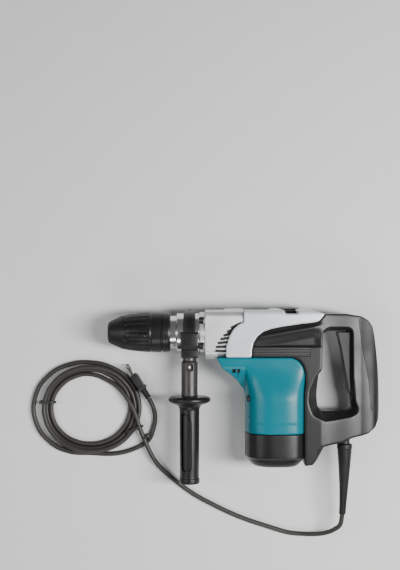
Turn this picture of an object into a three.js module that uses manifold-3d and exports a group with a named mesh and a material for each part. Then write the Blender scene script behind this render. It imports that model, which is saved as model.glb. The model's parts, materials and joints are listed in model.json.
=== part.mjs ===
// A corded rotary hammer with its motor standing across the barrel, lying on its side.
// Millimetres. In the tool's own frame x runs along the barrel towards the handle, y towards
// the top of the tool and z out of its left side; x = 0 is the motor's axis, y = z = 0 the barrel's.
import * as THREE from "three";
import { ConvexGeometry } from "three/addons/geometries/ConvexGeometry.js";
import { mergeVertices } from "three/addons/utils/BufferGeometryUtils.js";
import Module from "manifold-3d";

const wasm = await Module();
wasm.setup();

// ---- Driving dimensions ----
const MOTOR_X = 55; // the motor's axis, from the middle of the object's length
const BARREL_Y = 112.75; // the barrel's axis, from the middle of the object's height
const HALF_WIDTH = 57; // the motor housing's half width, and so the height of the middle plane
const MOTOR_R = 51.8; // the motor housing's half length along the barrel
const GAP = 0.3; // between pieces that touch
const ROUND = 24; // facets round a large turned piece
const FINE = 12; // facets round a small one
const TIP_X = -294.5; // the nose cap's front end
const SLEEVE_END = -184; // the release sleeve's rear end
const BAND_X = -150.1; // the side handle's middle plane
const FLANGE_X = -133; // the barrel housing's flange, front face
const JOINT_X = -122.7; // where the barrel housing meets the gear housing
const COVER_Y = -42; // where the teal housing meets the silver cover
const CAP_Y = -175; // where the motor housing meets its end cap
const BOTTOM_Y = -234.2; // the end cap's lower face
const CORD_R = 4.25;
const FLOOR_Z = -HALF_WIDTH;

// ---- Gears: module, teeth and the centre distances that follow ----
const MODULE = 1.245;
const PINION_TEETH = 8;
const CRANK_TEETH = 36;
const REDUCTION_TEETH = 50;
const BEVEL_MODULE = 1.73;
const BEVEL_PINION_TEETH = 8;
const RING_TEETH = 30;
const CRANK_X = ((PINION_TEETH + CRANK_TEETH) * MODULE) / 2;
const BEVEL_X = (-(PINION_TEETH + REDUCTION_TEETH) * MODULE) / 2;
const CRANK_THROW = 14;
const ROD_LENGTH = 70;
const PISTON_PIN_X = CRANK_X - CRANK_THROW - ROD_LENGTH;

// ---- Materials ----
function material(color, roughness, metalness) {
  return new THREE.MeshStandardMaterial({ color, roughness, metalness });
}
const CAST = material(0xc9cccd, 0.42, 0.85);
const SILVER = material(0xccd4dc, 0.38, 0.6);
const TEAL = material(0x008a98, 0.36, 0);
const BLACK = material(0x2b2b2c, 0.5, 0);
const GREY = material(0x5a5853, 0.5, 0);
const RUBBER = material(0x232323, 0.7, 0);
const STEEL = material(0xa9abad, 0.3, 1);
const DARK_STEEL = material(0x3b3c3e, 0.4, 0.9);
const COPPER = material(0xb5673a, 0.4, 0.9);
const BRASS = material(0xc8a75a, 0.35, 0.9);
const BOARD = material(0x2f5d3c, 0.6, 0);

// ---- Solids: joining and cutting ----
function solidOf(geometry) {
  const bare = geometry.index ? geometry.toNonIndexed() : geometry.clone();
  bare.deleteAttribute("normal");
  bare.deleteAttribute("uv");
  const merged = mergeVertices(bare, 1e-4);
  return new wasm.Manifold(
    new wasm.Mesh({
      numProp: 3,
      vertProperties: merged.attributes.position.array,
      triVerts: new Uint32Array(merged.index.array),
    }),
  );
}

function geometryOf(solid) {
  const mesh = solid.getMesh();
  const geometry = new THREE.BufferGeometry();
  geometry.setAttribute("position", new THREE.BufferAttribute(mesh.vertProperties, 3));
  geometry.setIndex(new THREE.BufferAttribute(mesh.triVerts, 1));
  geometry.computeVertexNormals();
  return geometry;
}

function joined(first, ...rest) {
  return geometryOf(rest.reduce((sum, piece) => sum.add(solidOf(piece)), solidOf(first)));
}

function cut(body, ...tools) {
  return geometryOf(tools.reduce((left, tool) => left.subtract(solidOf(tool)), solidOf(body)));
}

function common(first, second) {
  return geometryOf(solidOf(first).intersect(solidOf(second)));
}

// ---- Basic shapes ----
// Turned about the x axis from [x, radius] points that run rearwards along the outside.
function turnedX(points, facets = ROUND) {
  const profile = points.map(([x, r]) => new THREE.Vector2(r, x));
  return new THREE.LatheGeometry(profile, facets).rotateZ(-Math.PI / 2);
}

// Turned about the y axis from [y, radius] points that run upwards along the outside.
function turnedY(points, facets = ROUND) {
  const profile = points.map(([y, r]) => new THREE.Vector2(r, y));
  return new THREE.LatheGeometry(profile, facets);
}

function ringX(from, to, inner, outer, facets = ROUND) {
  return turnedX([[from, inner], [from, outer], [to, outer], [to, inner], [from, inner]], facets);
}

function ringY(from, to, inner, outer, facets = ROUND) {
  return turnedY([[from, inner], [from, outer], [to, outer], [to, inner], [from, inner]], facets);
}

function rodX(from, to, radius, facets = ROUND) {
  return turnedX([[from, 0], [from, radius], [to, radius], [to, 0]], facets);
}

function rodY(from, to, radius, facets = ROUND) {
  return turnedY([[from, 0], [from, radius], [to, radius], [to, 0]], facets);
}

function block([x0, x1], [y0, y1], [z0, z1]) {
  const box = new THREE.BoxGeometry(x1 - x0, y1 - y0, z1 - z0);
  return box.translate((x0 + x1) / 2, (y0 + y1) / 2, (z0 + z1) / 2);
}

function outline(points) {
  return new THREE.Shape(points.map(([x, y]) => new THREE.Vector2(x, y)));
}

// A side view outline made into a plate from z = -half to +half, with rounded edges.
function plate(shape, half, edge = 0, steps = 2) {
  const extrude = {
    depth: 2 * (half - edge),
    bevelEnabled: edge > 0,
    bevelSize: edge,
    bevelOffset: -edge,
    bevelThickness: edge,
    bevelSegments: steps,
    curveSegments: 3,
  };
  return new THREE.ExtrudeGeometry(shape, extrude).translate(0, 0, edge - half);
}

// A section in the y-z plane, rounded at its corners, made into a bar along x.
function bar([x0, x1], [y0, y1], half, corner, edge = 0) {
  const shape = new THREE.Shape();
  shape.moveTo(-half + corner, y0);
  shape.lineTo(half - corner, y0);
  shape.absarc(half - corner, y0 + corner, corner, -Math.PI / 2, 0);
  shape.absarc(half - corner, y1 - corner, corner, 0, Math.PI / 2);
  shape.absarc(-half + corner, y1 - corner, corner, Math.PI / 2, Math.PI);
  shape.absarc(-half + corner, y0 + corner, corner, Math.PI, 1.5 * Math.PI);
  const solid = plate(shape, (x1 - x0) / 2, edge);
  return solid.rotateY(Math.PI / 2).translate((x0 + x1) / 2, 0, 0);
}

// Makes a solid turned about the motor's axis squarer, most of all behind the axis, and widens it
// to the housing's full width, so that it has a flat strip on each side.
const SQUARE_FRONT = 2.6;
const SQUARE_REAR = 4;
const FULL_HALF_WIDTH = HALF_WIDTH + 1.2;
function squared(geometry) {
  const places = geometry.attributes.position;
  for (let i = 0; i < places.count; i++) {
    const x = places.getX(i);
    const z = places.getZ(i);
    const radius = Math.hypot(x, z);
    if (radius < 1e-6) continue;
    const power = x < 0 ? SQUARE_FRONT : SQUARE_REAR;
    const across = Math.abs(x / radius) ** power + Math.abs(z / radius) ** power;
    const grow = across ** (-1 / power);
    const wide = (z * grow * FULL_HALF_WIDTH) / MOTOR_R;
    places.setXYZ(i, x * grow, places.getY(i), Math.max(-HALF_WIDTH, Math.min(HALF_WIDTH, wide)));
  }
  return geometry;
}

// ---- Chuck and spindle, turning about the barrel's axis ----
function noseCap() {
  return turnedX([
    [TIP_X, 10.5], [TIP_X, 15], [-292.5, 18.5], [-289, 20.6], [-282, 23.6], [-273.3, 27.8],
    [-266.4, 29.8], [-266.4, 17.9], [-288.7, 17.9], [-288.7, 10.5], [TIP_X, 10.5],
  ]);
}

function releaseSleeve() {
  return turnedX([
    [-266, 18.2], [-266, 30], [-255.5, 32], [-237.8, 34.1], [-220, 35.4], [-200, 35.4],
    [-199, 34.2], [-197.6, 34.2], [-196.6, 35.2], [-187, 34.6], [SLEEVE_END, 33.5],
    [SLEEVE_END, 30], [-203, 30], [-203, 27], [-226, 27], [-226, 18.2], [-266, 18.2],
  ]);
}

// The spring that pushes the sleeve forward, between the sleeve's step and the holder's collar.
function sleeveSpring() {
  const turns = 3;
  const steps = 12;
  const wire = 1.2;
  const coil = [];
  for (let i = 0; i <= turns * steps; i++) {
    const angle = (i * 2 * Math.PI) / steps;
    const along = -224.3 + (15.4 * i) / (turns * steps);
    coil.push(new THREE.Vector3(along, 22 * Math.cos(angle), 22 * Math.sin(angle)));
  }
  const path = new THREE.CatmullRomCurve3(coil);
  const section = new THREE.Shape().absarc(0, 0, wire, 0, 2 * Math.PI);
  const extrude = { steps: turns * steps, curveSegments: 2, bevelEnabled: false, extrudePath: path };
  return new THREE.ExtrudeGeometry(section, extrude);
}

const KEY_FRONT = -251;
const KEY_REAR = -229;
function toolHolder() {
  const tube = turnedX([
    [-288.4, 9.2], [-288.4, 15], [-286, 17.5], [-207, 17.5], [-207, 26.3], [-204, 26.3],
    [-204, 20], [-145, 20], [-145, 24.5], [-47, 24.5], [-47, 20.9], [-139.8, 20.9],
    [-139.8, 12.4], [SLEEVE_END, 12.4], [SLEEVE_END, 9.2], [-288.4, 9.2],
  ]);
  const slot = block([KEY_FRONT - GAP, KEY_REAR + GAP], [-25, 25], [-4.3, 4.3]);
  return cut(tube, slot);
}

function lockKey(side) {
  const low = 9.6;
  const high = 17.1;
  const span = side > 0 ? [low, high] : [-high, -low];
  return block([KEY_FRONT, KEY_REAR], span, [-4, 4]);
}

function impactBolt() {
  return turnedX([
    [-183.4, 0], [-183.4, 8], [-176, 8.6], [-176, 12.1], [-150, 12.1], [-150, 9], [-131, 9],
    [-131, 0],
  ], FINE);
}

// ---- Bevel gears. In its own frame a gear's axis is y, from the cones' shared point at the
// origin towards the gear's back, and everything on a tooth scales with its distance from there.
const MEAN_CONE = (BEVEL_MODULE / 2) * Math.hypot(BEVEL_PINION_TEETH, RING_TEETH);
const INNER_CONE = 0.92;
const OUTER_CONE = 1.06;
function bevelGear(teeth, mates, phase, start, hub) {
  const cone = Math.atan2(teeth, mates);
  const across = (length, height, angle, side) => {
    const radius = length * Math.sin(cone) + height * Math.cos(cone);
    const along = length * Math.cos(cone) - height * Math.sin(cone);
    const x = radius * Math.cos(angle) - side * Math.sin(angle);
    return new THREE.Vector3(x, along, radius * Math.sin(angle) + side * Math.cos(angle));
  };
  const root = -1.3 * BEVEL_MODULE;
  const foot = -1.9 * BEVEL_MODULE;
  const tip = 0.75 * BEVEL_MODULE;
  const rims = [INNER_CONE, OUTER_CONE].map((scale) => {
    const rim = across(MEAN_CONE * scale, root * scale, 0, 0);
    return [rim.y, rim.x];
  });
  let gear = solidOf(turnedY([start, ...rims, ...hub], teeth));
  for (let i = 0; i < teeth; i++) {
    const angle = ((i + phase) * 2 * Math.PI) / teeth;
    const corners = [];
    for (const scale of [INNER_CONE, OUTER_CONE]) {
      for (const [height, half] of [[foot, 0.85], [tip, 0.36]]) {
        for (const side of [-half, half]) {
          const length = MEAN_CONE * scale;
          corners.push(across(length, height * scale, angle, side * scale * BEVEL_MODULE));
        }
      }
    }
    gear = gear.add(solidOf(new ConvexGeometry(corners)));
  }
  return geometryOf(gear);
}

function ringGear() {
  const start = [10.5, 23.3];
  const hub = [[12.2, 29.6], [16, 28], [16, 24.9], [10.5, 24.9], start];
  return bevelGear(RING_TEETH, BEVEL_PINION_TEETH, 0.5, start, hub)
    .rotateZ(Math.PI / 2)
    .translate(BEVEL_X, 0, 0);
}

// ---- Spur gears ----
function spurGear(teeth, from, to, phase) {
  const pitch = (teeth * MODULE) / 2;
  const root = pitch - 1.3 * MODULE;
  const tip = pitch + 0.75 * MODULE;
  const points = [];
  for (let i = 0; i < teeth; i++) {
    const middle = ((i + phase) * 2 * Math.PI) / teeth;
    for (const [radius, half] of [[root, -0.95], [tip, -0.32], [tip, 0.32], [root, 0.95]]) {
      const angle = middle + (half * MODULE) / pitch;
      points.push([radius * Math.cos(angle), -radius * Math.sin(angle)]);
    }
  }
  const gear = new THREE.ExtrudeGeometry(outline(points), { depth: to - from, bevelEnabled: false });
  return gear.rotateX(-Math.PI / 2).translate(0, from, 0);
}

function bevelShaft() {
  const hub = [[29.6, 7.6], [31, 6.5], [42.5, 6.5], [42.5, 0]];
  const pinion = bevelGear(BEVEL_PINION_TEETH, RING_TEETH, 0, [24.2, 0], hub).rotateZ(Math.PI);
  const wheel = spurGear(REDUCTION_TEETH, -41.5, -34.5, 0.5);
  const shaft = rodY(-51.5, -30, 6.5, FINE);
  return joined(pinion, wheel, shaft).translate(BEVEL_X, 0, 0);
}

function crankshaft() {
  const wheel = spurGear(CRANK_TEETH, -41.5, -34.5, 0.5);
  const shaft = rodY(-51.5, -26, 8, FINE);
  const disc = rodY(-28, -19, 20);
  const pin = rodY(-20, -5.4, 6, FINE).translate(-CRANK_THROW, 0, 0);
  return joined(wheel, shaft, disc, pin).translate(CRANK_X, 0, 0);
}

function armatureShaft() {
  return joined(rodY(-207, -43, 6, FINE), spurGear(PINION_TEETH, -43.5, -33.5, 0));
}

// ---- Hammer mechanism inside the cylinder ----
function cylinder() {
  return ringX(-139.4, -19.5, 17.2, 20.5);
}

function piston() {
  const body = rodX(PISTON_PIN_X - 15, PISTON_PIN_X + 10, 16.9);
  const slot = block([PISTON_PIN_X - 8.5, PISTON_PIN_X + 11], [-5.5, 5.5], [-10, 10]);
  const pin = rodY(-8, 8, 3.3, FINE).translate(PISTON_PIN_X, 0, 0);
  return joined(cut(body, slot), pin);
}

function connectingRod() {
  const small = rodY(-5, 5, 7, FINE);
  const big = rodY(-5, 5, 11, FINE).translate(ROD_LENGTH, 0, 0);
  const shank = block([4, ROD_LENGTH - 6], [-3.5, 3.5], [-4.5, 4.5]);
  const smallHole = rodY(-6, 6, 3.7, FINE);
  const bigHole = rodY(-6, 6, 6.3, FINE).translate(ROD_LENGTH, 0, 0);
  return cut(joined(small, big, shank), smallHole, bigHole).translate(PISTON_PIN_X, 0, 0);
}

function striker() {
  const rear = -85;
  return turnedX([
    [rear - 34, 0], [rear - 34, 11], [rear - 24, 11], [rear - 24, 16.9], [rear, 16.9], [rear, 0],
  ]);
}

// ---- Barrel housing and gear housing ----
const BOLT_Y = 22;
const BOLT_Z = 24;
const CORNERS = [[1, 1], [1, -1], [-1, 1], [-1, -1]];

function barrelHousing() {
  const neck = turnedX([
    [-190, 27.3], [-190, 28.6], [-189.4, 29], [-172.3, 29], [-172.3, 33], [-171.5, 33.5],
    [-160.6, 33.5], [-159.9, 33], [-159.9, 32], [-140.4, 32], [-140.4, 33.5], [FLANGE_X, 33.5],
    [FLANGE_X, 36], [JOINT_X - GAP, 36], [JOINT_X - GAP, 25.2], [-170.7, 25.2], [-170.7, 27.3],
    [-190, 27.3],
  ]);
  const lugs = [];
  const holes = [];
  for (const [up, out] of CORNERS) {
    const place = [0, up * BOLT_Y, out * BOLT_Z];
    lugs.push(rodX(FLANGE_X, JOINT_X - GAP, 8, FINE).translate(...place));
    holes.push(rodX(FLANGE_X - 1, -125.2, 5.6, FINE).translate(...place));
    holes.push(rodX(-126, JOINT_X + 1, 3.3, FINE).translate(...place));
  }
  const bore = rodX(-169, JOINT_X + 1, 25.2);
  return cut(joined(neck, ...lugs), bore, ...holes);
}

function flangeBolt() {
  const bolt = turnedX([
    [-132.8, 0], [-132.8, 4.9], [-132.4, 5.3], [-125.5, 5.3], [-125.5, 3], [-110, 3], [-110, 0],
  ], FINE);
  const socket = turnedX([[-133, 0], [-133, 2.8], [-129, 2.8], [-129, 0]], 6);
  return cut(bolt, socket);
}

// The space that the reduction gear turns in, at the bottom of both housings.
function reductionRoom() {
  return rodY(-48, -31, 34).translate(BEVEL_X, 0, 0);
}

const RIBS = 8;
function gearHousing() {
  const body = bar([JOINT_X, -55.4], [-41.4, 39.5], 39, 13, 1.5);
  const lobe = bar([JOINT_X + 1, -103.6], [-46.5, -20], 24, 11, 2);
  const cavity = turnedX([
    [-124, 0], [-124, 26.5], [-118, 26.5], [-118, 34], [-73, 34], [-73, 31.3], [-60, 31.3],
    [-60, 34], [-54, 34], [-54, 0],
  ]);
  const cuts = [];
  for (const [up, out] of CORNERS) {
    cuts.push(rodX(JOINT_X - 1, -108, 3.3, FINE).translate(0, up * BOLT_Y, out * BOLT_Z));
  }
  for (let i = 0; i < RIBS; i++) {
    const share = i / (RIBS - 1);
    const angle = -0.25 + 0.9 * share;
    const middle = [-99 + 21 * share ** 1.6, -29 + 40 * share];
    for (const side of [1, -1]) {
      const groove = block([-5, 5], [-1.3, 1.3], [-1.6, 1.6]);
      cuts.push(groove.rotateZ(angle).translate(middle[0], middle[1], side * 39));
    }
  }
  return cut(joined(body, lobe), cavity, reductionRoom(), ...cuts);
}

// ---- Crank housing, its silver cover and the plate that carries the gear shafts ----
const CRANK_BOX = { x: [-55, 78], y: [COVER_Y + GAP, 32.9], half: 40 };
function crankHousing() {
  const { x, y, half } = CRANK_BOX;
  const body = bar(x, y, half, 6);
  const front = block([x[0] + 4, -24], [y[0] - 1, 30.4], [-36, 36]);
  const rear = block([-19, x[1] - 4], [y[0] - 1, 29], [-36, 36]);
  const under = block([-25, -18], [y[0] - 1, -30], [-36, 36]);
  const mouth = rodX(x[0] - 1, x[0] + 5, 30.4);
  const seat = rodX(-25, -18, 20.8);
  const stemHole = rodY(28, 34, 5, FINE).translate(KNOB_X, 0, 0);
  return cut(body, front, rear, under, mouth, seat, stemHole, reductionRoom());
}

// The edge that the silver cover and the black rear housing share, from the front up to the rear.
const SHARED_EDGE = [
  [-42.1, -31.4], [-39.4, -17.2], [-32.3, -5.7], [-21.7, 3.2], [-7.5, 8.5], [10.2, 12],
  [27.9, 14.7], [45.6, 17.4], [63.3, 19.1], [75.7, 21.8],
];
const KNOB_NOTCH = [15.5, 40.3];
const KNOB_X = (KNOB_NOTCH[0] + KNOB_NOTCH[1]) / 2;
function crankCover() {
  const [notchFront, notchRear] = KNOB_NOTCH;
  const skin = outline([
    [-86.4, COVER_Y + GAP], [-85.5, -22.5], [-80.2, -4.8], [-73.1, 7.6], [-64.2, 15.6],
    [-55, 19.6], [-55, 39.5], [-11.1, 39.5], [-3, 42.3], [7, 42.3], [notchFront, 38.5],
    [notchFront + 1, 33.2], [notchRear - 1, 33.2], [notchRear, 38.5], [48, 42.3], [58, 42.3],
    [66.9, 38.8], [85.5, 34.2], ...SHARED_EDGE.toReversed(), [-42.1, COVER_Y + GAP],
  ]);
  const whole = plate(skin, 46, 2.5);
  const inside = bar([-70, CRANK_BOX.x[1] + 0.5], [-60, CRANK_BOX.y[1] + 0.4], 40.4, 3);
  const front = block([-95, -55.1], [-60, 45], [-39.5, 39.5]);
  return cut(whole, inside, front);
}

function bearingPlate() {
  const slab = bar([-80, 36], [-52.2, -46.2], 37, 0.5);
  const holes = [
    rodY(-53, -45, 14.3),
    rodY(-53, -45, 7, FINE).translate(BEVEL_X, 0, 0),
    rodY(-53, -45, 8.5, FINE).translate(CRANK_X, 0, 0),
  ];
  return cut(slab, ...holes);
}

function modeKnob() {
  const dial = turnedY([[33.7, 0], [33.7, 11], [38.5, 10.8], [39.2, 10], [39.2, 0]], 2 * FINE);
  const grip = block([-9.5, 9.5], [38, 41.8], [-2.6, 2.6]);
  const stem = rodY(24, 35, 4.6, FINE);
  return joined(dial, grip, stem).translate(KNOB_X, 0, 0);
}

// ---- Motor housing and end cap ----
const MOTOR_CORNER = [[27.9, COVER_Y - 0.1], [39, -47.5], [46.5, -57], [50.6, -72], [51.5, -88]];
function motorHousing() {
  const barrel = squared(turnedY([
    [CAP_Y + GAP, 0], [CAP_Y + GAP, MOTOR_R], [-72, MOTOR_R], [-60, MOTOR_R - 6], [-60, 0],
  ], 2 * ROUND));
  const top = outline([
    [-103.2, COVER_Y - 0.1], ...MOTOR_CORNER, [48, -110], [-51.8, -110], [-54.5, -101],
    [-66, -84.5], [-78.4, -72.1], [-92.6, -61.5],
  ]);
  const hollow = turnedY([
    [-180, 0], [-180, 47], [-92, 47], [-92, 41], [-64, 41], [-64, 30], [-50, 30], [-50, 0],
  ]);
  const tray = block([-80.4, 36.3], [-52.6, -46], [-37.4, 37.4]);
  const mouth = block([-80.4, 27.5], [-47, -40], [-37.4, 37.4]);
  const journal = rodY(-47, -40, 8.6, FINE).translate(CRANK_X, 0, 0);
  const lower = outline([
    [-110, -30], [-110, -60], [-51.9, -200], [51.9, -200], ...MOTOR_CORNER.toReversed(),
  ]);
  const trimmed = common(barrel, plate(lower, 80));
  return cut(joined(plate(top, 46, 4), trimmed), hollow, tray, mouth, journal);
}

function motorEndCap() {
  return squared(turnedY([
    [BOTTOM_Y, 0], [BOTTOM_Y, 36], [-231.5, 42.5], [-225.5, 48], [-217, MOTOR_R],
    [CAP_Y, MOTOR_R], [CAP_Y, 47], [-213, 46.9], [-213, 17], [-197, 17],
    [-197, 13.4], [-212, 13.4], [-212, 0],
  ], 2 * ROUND));
}

// ---- Motor ----
function fieldSlots() {
  const slots = [];
  for (const x of [-20.5, 20.5]) {
    for (const z of [-27, 27]) {
      slots.push(block([x - 3.9, x + 3.9], [-170, -90], [z - 5.3, z + 5.3]));
    }
  }
  return slots;
}

function statorCore() {
  return cut(ringY(-165, -95, 28.2, 46.4), ...fieldSlots());
}

function fieldCoil(side) {
  const outer = block([-24, 24], [-172, -88], [22, 32]);
  const hole = block([-17, 17], [-166, -94], [21, 33]);
  return cut(outer, hole).translate(0, 0, side > 0 ? 0 : -54);
}

function armatureCore() {
  const slots = [];
  const count = 12;
  for (let i = 0; i < count; i++) {
    const slot = block([23, 28], [-170, -90], [-1.2, 1.2]);
    slots.push(slot.rotateY((i * 2 * Math.PI) / count));
  }
  return cut(ringY(-160, -98, 6.3, 27), ...slots);
}

function coolingFan() {
  const hub = ringY(-84, -81, 6.3, 38);
  const sleeve = ringY(-84, -70, 6.3, 11, FINE);
  const blades = [];
  const count = 9;
  for (let i = 0; i < count; i++) {
    const blade = block([9, 37], [-82, -70], [-0.9, 0.9]).rotateY(0.35).translate(0, 0, 6);
    blades.push(blade.rotateY((i * 2 * Math.PI) / count));
  }
  return joined(hub, sleeve, ...blades);
}

function brushHolder(side) {
  const box = block([-5.5, 5.5], [-188, -173], [17, 34]);
  const hole = block([-3.4, 3.4], [-185.4, -176.6], [16, 35]);
  return cut(box, hole).rotateY(side > 0 ? 0 : Math.PI);
}

function carbonBrush(side) {
  return block([-3, 3], [-185, -177], [15.4, 31]).rotateY(side > 0 ? 0 : Math.PI);
}

// ---- Rear housing and D handle ----
const GRIP_HALF = 20;
const BACK = [
  [151.9, 28.9], [164.3, 21.8], [171.4, 11.2], [174.9, -4.8], [178.5, -31.4], [182, -66.8],
  [183.8, -102.2], [184.5, -134.1], [182.9, -151.8], [176.7, -166], [164.3, -176.6],
];
const UNDERSIDE = [
  [151.9, -181], [137.7, -183.7], [116.5, -191.7], [98.8, -194.3], [84.6, -197],
];

function handleLoop() {
  const outer = outline([
    [76.6, 21], [86, 33.8], [125.3, 33.3], ...BACK, ...UNDERSIDE, [70, -198], [70, 14],
  ]);
  const opening = outline([
    [84.6, -1.2], [93.5, 3.2], [131.5, 3.2], [131.7, -80], [134.2, -120], [136, -132.3],
    [131, -137.6], [82, -137.6], [75, -129], [73.1, -111], [74.5, -92], [77, -71], [81.9, -61.5],
    [81.9, -5],
  ]);
  return cut(plate(outer, GRIP_HALF, 6), plate(opening, 60));
}

// The column behind the motor, with the side panels that run forward under the silver cover.
function columnShape() {
  const panel = SHARED_EDGE.map(([x, y]) => [x + 0.25, y - 0.35]);
  const corner = MOTOR_CORNER.map(([x, y]) => [x + 0.4, y + 0.35]);
  return outline([
    [-41.8, COVER_Y + 0.25], ...panel, [86, 33.8], [96, 33.8], [94, 6], [85, -0.6], [82, -8],
    [82, -61.5], [77, -71], [74.5, -92], [73.2, -111], [75, -129], [82, -138], [96, -140],
    [112, -143], [112, -191.6], [98.8, -194.3], [84.6, -197], [82.8, -198], [70.4, -221],
    [64, -229], [52.2, -231], [52.2, -88.5], ...corner.toReversed(),
  ]);
}

const COLUMN_HALF = 44;
const TAPER_FROM = 82;
const TAPER_TO = 112;
const TAPER_HALF = 26;
function tapered(geometry) {
  const places = geometry.attributes.position;
  for (let i = 0; i < places.count; i++) {
    const share = THREE.MathUtils.clamp((places.getX(i) - TAPER_FROM) / (TAPER_TO - TAPER_FROM), 0, 1);
    const scale = 1 - share * (1 - TAPER_HALF / COLUMN_HALF);
    places.setZ(i, places.getZ(i) * scale);
  }
  return geometry;
}

const PAD_INNER = [
  [168.9, 8], [171.6, -5.6], [175.2, -32], [178.6, -67], [180.3, -102], [180.8, -133.6], [179, -150],
];
const PAD_OUTER = [
  [182.9, -151.8], [184.5, -134.1], [183.8, -102.2], [182, -66.8], [178.5, -31.4], [174.9, -4.8],
  [172, 9],
];
function padShape() {
  return outline([...PAD_INNER, ...PAD_OUTER]);
}

function rearHousing() {
  const solid = joined(tapered(plate(columnShape(), COLUMN_HALF, 3)), handleLoop());
  const padInner = PAD_INNER.map(([x, y]) => [x - GAP, y]);
  const padSpace = outline([[168.3, 9.6], ...padInner, [178.6, -152.6], [190, -155], [190, 12]]);
  return cut(
    solid,
    block([-60, CRANK_BOX.x[1] + 0.4], [COVER_Y - 5, CRANK_BOX.y[1] + 0.4], [-40.4, 40.4]),
    block([56, 69], [-200, -46], [-38, 38]),
    block([126, 166], [-112, 3.4], [-12, 12]),
    block([104, 152], [-186, -148], [-12, 12]),
    block([68, 108], [-170, -150], [-8, 8]),
    rodY(-200, -180, 9.6, FINE).translate(EXIT_X, 0, 0),
    plate(padSpace, 60),
  );
}

function handleHalf(side) {
  const depth = side > 0 ? [GAP / 2, 80] : [-80, -GAP / 2];
  return common(rearHousing(), block([-100, 250], [-300, 100], depth));
}

function trigger() {
  const lever = outline([
    [109.2, 1.5], [112.5, -12], [116.5, -28], [120.9, -52.6], [125.6, -80], [129, -100],
    [131.8, -108], [136, -109], [140, -106], [140.5, -80], [136, -40], [133.5, 1.5],
  ]);
  return plate(lever, 11, 2);
}

// ---- Side handle ----
function clampBand() {
  return ringX(BAND_X - 9.5, BAND_X + 9.4, 32.4, 37.7);
}

function clampBase() {
  const body = bar([BAND_X - 15, BAND_X + 16.4], [-43.8, 2.3], 42, 4, 2.5);
  const bandSeat = rodX(BAND_X - 9.8, BAND_X + 9.8, 38.1);
  const barrelHole = rodX(BAND_X - 20, BAND_X + 20, 33.9);
  return cut(body, bandSeat, barrelHole);
}

function handleStem() {
  const stem = turnedY([
    [-112.8, 0], [-112.8, 14.6], [-52, 14.6], [-50, 12], [-44.1, 12], [-44.1, 0],
  ]);
  const window = block([-7, 7], [-69, -54], [8, 20]);
  return cut(stem, window).translate(BAND_X, 0, 0);
}

function sideGrip() {
  const grip = turnedY([
    [-267.8, 0], [-267.8, 16.5], [-266, 18.1], [-259, 18.1], [-257, 17.2], [-250, 17],
    [-150, 17.6], [-134, 17.7], [-129, 21], [-125.5, 31], [-122, 36.6], [-120.5, 37.2],
    [-115.5, 36.8], [-113.2, 33], [-113.1, 0],
  ]);
  const panels = [1, -1].map((side) => {
    const shape = new THREE.Shape();
    shape.absarc(-6, -246, 6, Math.PI, 0);
    shape.absarc(-6, -149, 6, 0, Math.PI);
    const panel = new THREE.ExtrudeGeometry(shape, { depth: 6, bevelEnabled: false, curveSegments: 3 });
    return panel.translate(0, 0, 15).rotateY(side > 0 ? 0 : Math.PI);
  });
  return cut(grip, ...panels).translate(BAND_X, 0, 0);
}

// ---- Mains lead: guard, lead, coil, tail and plug ----
const EXIT_X = 124.6;
const GUARD_TOP = -181.5;
const GUARD_ROOT = -197;
const GUARD_END = -324.6;
const GUARD_DROOP = 12; // how far the guard's end hangs below its root
const GUARD_LEAN = -2.6; // and how far it leans towards the nose

// The guard is straight inside the handle and bends down under its own weight below it.
function bentGuard(geometry) {
  const places = geometry.attributes.position;
  for (let i = 0; i < places.count; i++) {
    const share = Math.max(0, (places.getY(i) - GUARD_ROOT) / (GUARD_END - GUARD_ROOT));
    places.setZ(i, places.getZ(i) - GUARD_DROOP * share ** 2);
    places.setX(i, places.getX(i) + GUARD_LEAN * share ** 2);
  }
  return geometry;
}

function cordGuard() {
  const profile = [[GUARD_END, 0], [GUARD_END, 5.6], [GUARD_END + 1.5, 6.1], [-307, 6.2]];
  for (const [y, r] of [[-280, 7.6], [-250, 9.5], [-225, 11.4], [-203, 13.2], [-199, 13.3]]) {
    profile.push([y, r]);
  }
  profile.push([-197.6, 12.6], [-197.4, 9.2], [GUARD_TOP, 9.2], [GUARD_TOP, 0]);
  return bentGuard(turnedY(profile, 16)).translate(EXIT_X, 0, 0);
}

// A tube along hand-placed points, which stand for the cord where it isn't coiled.
function cordTube(points, steps) {
  const path = new THREE.CatmullRomCurve3(points.map((p) => new THREE.Vector3(...p)));
  const section = new THREE.Shape().absarc(0, 0, CORD_R, 0, 2 * Math.PI);
  const extrude = { steps, curveSegments: 4, bevelEnabled: false, extrudePath: path };
  return new THREE.ExtrudeGeometry(section, extrude);
}

const LYING = FLOOR_Z + CORD_R + 0.15;
const PLUG_HEIGHT = FLOOR_Z + 12.9;
const LEAD = [
  [121.9, -325.9, -12.2], [121.1, -333, -13.8], [118.6, -345, -17.6], [110, -354, -24.5],
  [96, -362, -34], [77, -367, -44], [55, -368, -50.5], [30, -366, LYING], [5, -359, LYING],
  [-22, -350.5, LYING], [-50, -341, LYING], [-79, -329, LYING], [-110, -314, LYING],
  [-142, -296.5, LYING], [-170, -276.5, LYING], [-194, -256.5, LYING + 1],
  [-209, -240, LYING + 5.5], [-219.5, -223, LYING + 9.2], [-227.8, -205.5, LYING + 9.2],
  [-234.2, -191, LYING + 9.2], [-239.4, -177.8, LYING + 9.2],
];
const TAIL = [
  [-292, -223, LYING], [-275, -220.9, LYING], [-253.8, -214.9, LYING], [-236, -206.2, LYING],
  [-223.6, -196.1, LYING], [-216.6, -178.4, LYING], [-213, -156.2, LYING + 1.6],
  [-215.9, -139.4, LYING + 5.2], [-223.4, -122.3, PLUG_HEIGHT],
];

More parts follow.
